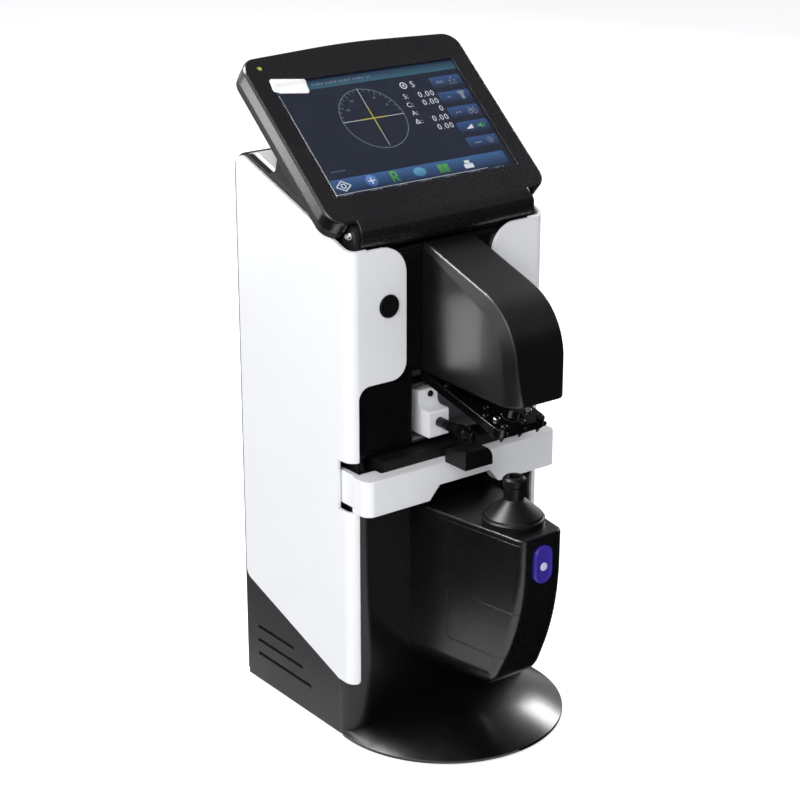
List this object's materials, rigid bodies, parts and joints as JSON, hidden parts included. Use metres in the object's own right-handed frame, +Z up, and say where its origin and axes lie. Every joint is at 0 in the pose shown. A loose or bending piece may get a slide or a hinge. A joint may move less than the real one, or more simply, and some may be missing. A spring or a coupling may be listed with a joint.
{
  "type": "auto lensmeter",
  "caption": "Desktop instrument that measures spectacle lenses: tilting touch display, lamp head, marker arm, nosepiece, sliding lens table and round foot.",
  "frame": {"origin": "middle of the instrument's outline on the table top", "axes": "+Z up, -Y towards the user, +X to the user's right"},
  "size_m": [0.184, 0.237, 0.4674],
  "materials": {
    "plate_steel": "zinc plated sheet",
    "foot_rubber": "matt rubber",
    "screw_steel": "nickel plated",
    "gloss_black": "polished",
    "cast_alloy": "as cast",
    "white_plastic": "satin gloss",
    "black_plastic": "fine texture",
    "grey_plastic": "fine texture",
    "liner_plastic": "fine texture",
    "black_alloy": "black anodised",
    "optical_glass": "polished",
    "board_green": "solder mask",
    "satin_black": "satin",
    "violet_plastic": "satin gloss",
    "pale_lens": "satin",
    "ground_steel": "ground",
    "bronze": "turned",
    "cover_glass": "polished",
    "screen_panel": "backlit",
    "led_lens": "clear green",
    "tin_box": "folded sheet",
    "paper": "smooth paper"
  },
  "bodies": {
    "body": {"base_plate": "plate_steel", "rubber_feet": "foot_rubber", "body_screws": "screw_steel", "foot_disc": "gloss_black", "column_frame": "plate_steel", "optical_frame": "cast_alloy", "left_side_cover": "white_plastic", "right_side_cover": "white_plastic", "cover_plugs": "black_plastic", "vent_panels": "grey_plastic", "lower_front_cover": "gloss_black", "upper_front_cover": "gloss_black", "bay_liner": "liner_plastic", "top_cover": "black_plastic", "rear_cover": "grey_plastic", "head_cover": "gloss_black", "head_base_plate": "black_plastic", "collimator_barrel": "black_alloy", "collimator_lens": "optical_glass", "led_board": "board_green", "nose_shell": "gloss_black", "nose_service_cover": "gloss_black", "nose_top_cover": "gloss_black", "nosepiece": "satin_black", "nosepiece_window": "optical_glass", "sensor_barrel": "black_alloy", "aperture_plate": "plate_steel", "sensor_board": "board_green", "button_switch": "board_green", "rail_blocks": "cast_alloy", "rail_bushes": "bronze", "arm_shaft": "ground_steel", "ink_bracket": "white_plastic", "hinge_brackets": "plate_steel", "main_board": "board_green", "power_supply": "tin_box", "power_inlet": "black_plastic", "switch_frame": "black_plastic", "printer_frame": "grey_plastic"},
    "display": {"display_bezel": "gloss_black", "display_back": "grey_plastic", "display_glass": "cover_glass", "lcd_panel": "screen_panel", "display_board": "board_green", "status_led": "led_lens", "hinge_shaft": "ground_steel"},
    "table": {"lens_table": "white_plastic", "table_carriage": "black_plastic", "table_rods": "ground_steel"},
    "pd_slider": {"pd_slider": "satin_black"},
    "marker_arm": {"arm_plate": "satin_black", "arm_screws": "screw_steel"},
    "pens": {"marking_pens": "satin_black"},
    "pins": {"holder_pins": "foot_rubber"},
    "ink_cartridge": {"ink_cartridge": "satin_black"},
    "read_button": {"read_button": "violet_plastic", "button_lens": "pale_lens"},
    "power_rocker": {"power_rocker": "satin_black"},
    "printer_door": {"printer_door": "white_plastic"},
    "paper_roll": {"paper_roll": "paper"}
  },
  "joints": [
    {"name": "display_tilt", "type": "hinge", "parent": "body", "child": "display", "pos_m": [0, -0.00509, 0.36484], "axis": [1, 0, 0], "range_deg": [0, 30]},
    {"name": "table_slide", "type": "slide", "parent": "body", "child": "table", "axis": [0, -1, 0], "range_m": [0, 0.02]},
    {"name": "pd_slide", "type": "slide", "parent": "table", "child": "pd_slider", "axis": [1, 0, 0], "range_m": [-0.03, 0.03]},
    {"name": "arm_swing", "type": "hinge", "parent": "body", "child": "marker_arm", "pos_m": [0, -0.006, 0.2545], "axis": [1, 0, 0], "range_deg": [0, 14]},
    {"name": "pen_press", "type": "slide", "parent": "marker_arm", "child": "pens", "axis": [0, -0.225, 0.9744], "range_m": [0, 0.003], "stiffness_N_per_m": 300},
    {"name": "pin_press", "type": "slide", "parent": "marker_arm", "child": "pins", "axis": [0, -0.225, 0.9744], "range_m": [0, 0.004], "stiffness_N_per_m": 300},
    {"name": "cartridge_pull", "type": "slide", "parent": "body", "child": "ink_cartridge", "axis": [0, -1, 0], "range_m": [0, 0.008]},
    {"name": "button_press", "type": "slide", "parent": "body", "child": "read_button", "axis": [0, 1, 0], "range_m": [0, 0.0015], "stiffness_N_per_m": 800},
    {"name": "rocker_tip", "type": "hinge", "parent": "body", "child": "power_rocker", "pos_m": [0.005, 0.114, 0.042], "axis": [1, 0, 0], "range_deg": [0, 14]},
    {"name": "door_open", "type": "hinge", "parent": "body", "child": "printer_door", "pos_m": [0.08275, 0.052, 0.2644], "axis": [0, 1, 0], "range_deg": [0, 60]},
    {"name": "roll_spin", "type": "hinge", "parent": "body", "child": "paper_roll", "pos_m": [0.0587, 0.052, 0.29], "axis": [0, 1, 0], "continuous": true}
  ]
}
